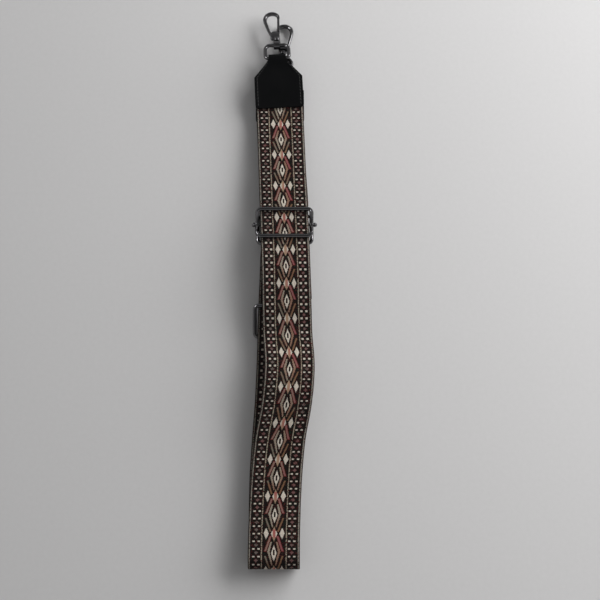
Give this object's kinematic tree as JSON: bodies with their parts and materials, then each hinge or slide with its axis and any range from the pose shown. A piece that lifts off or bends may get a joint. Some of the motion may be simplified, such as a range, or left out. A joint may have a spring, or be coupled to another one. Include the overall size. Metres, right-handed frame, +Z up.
{
  "type": "detachable bag strap",
  "caption": "Adjustable woven bag strap with leather tabs, metal slider and rings, and a swivelling snap hook at each end, laid folded in half.",
  "frame": {"origin": "middle of the laid strap's bounding box in plan, on the table under it", "axes": "+Z up from the table, +Y along the folded strap towards its hooks, +X to the right seen from above with the hooks away from the viewer"},
  "size_m": [0.0518, 0.4547, 0.0183],
  "materials": {
    "webbing": "dark woven jacquard webbing with a cream, tan and rose diamond pattern",
    "thread": "black sewing thread",
    "leather": "smooth black leather, slightly glossy",
    "gunmetal": "polished black nickel plating on zinc alloy and steel wire",
    "spring_steel": "bare spring steel wire"
  },
  "bodies": {
    "strap": {"main_webbing": "webbing", "short_webbing": "webbing", "ring_stitching": "thread", "leather_tab_a": "leather", "leather_tab_b": "leather", "tab_stitching_a": "thread", "tab_stitching_b": "thread", "loop_ring": "gunmetal"},
    "slider": {"slider_frame": "gunmetal", "slider_bar": "gunmetal", "webbing_end": "webbing", "slider_stitching": "thread"},
    "keeper": {"keeper_ring": "gunmetal"},
    "ring_a": {"d_ring_a": "gunmetal"},
    "ring_b": {"d_ring_b": "gunmetal"},
    "eye_a": {"swivel_eye_a": "gunmetal"},
    "eye_b": {"swivel_eye_b": "gunmetal"},
    "hook_a": {"hook_body_a": "gunmetal", "gate_pin_a": "gunmetal", "gate_spring_a": "spring_steel"},
    "hook_b": {"hook_body_b": "gunmetal", "gate_pin_b": "gunmetal", "gate_spring_b": "spring_steel"},
    "gate_a": {"hook_gate_a": "gunmetal"},
    "gate_b": {"hook_gate_b": "gunmetal"}
  },
  "joints": [
    {"name": "slider_slide", "type": "slide", "parent": "strap", "child": "slider", "axis": [-0.0402, 0.997, -0.0656], "range_m": [-0.008, 0.075]},
    {"name": "keeper_slide", "type": "slide", "parent": "strap", "child": "keeper", "axis": [0, 1, 0], "range_m": [-0.036, 0.004]},
    {"name": "ring_a_swing", "type": "hinge", "parent": "strap", "child": "ring_a", "pos_m": [-0.00636, 0.1831, 0.01079], "axis": [0.9986, 0.0523, 0], "range_deg": [0, 145]},
    {"name": "ring_b_swing", "type": "hinge", "parent": "strap", "child": "ring_b", "pos_m": [-0.00438, 0.1735, 0.003], "axis": [1, 0.0087, 0], "range_deg": [-130, 0]},
    {"name": "eye_a_swing", "type": "hinge", "parent": "ring_a", "child": "eye_a", "pos_m": [-0.007, 0.19534, 0.0093], "axis": [-0.9998, -0.0209, 0], "range_deg": [-151, 0]},
    {"name": "eye_b_swing", "type": "hinge", "parent": "ring_b", "child": "eye_b", "pos_m": [-0.00199, 0.18585, 0.0036], "axis": [-0.9962, -0.0872, 0], "range_deg": [0, 145]},
    {"name": "hook_a_swivel", "type": "hinge", "parent": "eye_a", "child": "hook_a", "pos_m": [-0.00708, 0.19923, 0.00893], "axis": [0.0209, -0.9953, 0.095], "range_deg": [-185, 55]},
    {"name": "hook_b_swivel", "type": "hinge", "parent": "eye_b", "child": "hook_b", "pos_m": [-0.00233, 0.18973, 0.0034], "axis": [0.087, -0.9949, 0.0506], "range_deg": [-20, 45]},
    {"name": "gate_a_open", "type": "hinge", "parent": "hook_a", "child": "gate_a", "pos_m": [-0.00549, 0.20424, 0.00846], "axis": [-0.002, 0.095, 0.9955], "range_deg": [0, 28], "stiffness_Nm_per_rad": 0.08, "springref_deg": -11.46},
    {"name": "gate_b_open", "type": "hinge", "parent": "hook_b", "child": "gate_b", "pos_m": [-0.00446, 0.19456, 0.00315], "axis": [0.0044, -0.0504, -0.9987], "range_deg": [0, 28], "stiffness_Nm_per_rad": 0.08, "springref_deg": -11.46}
  ]
}
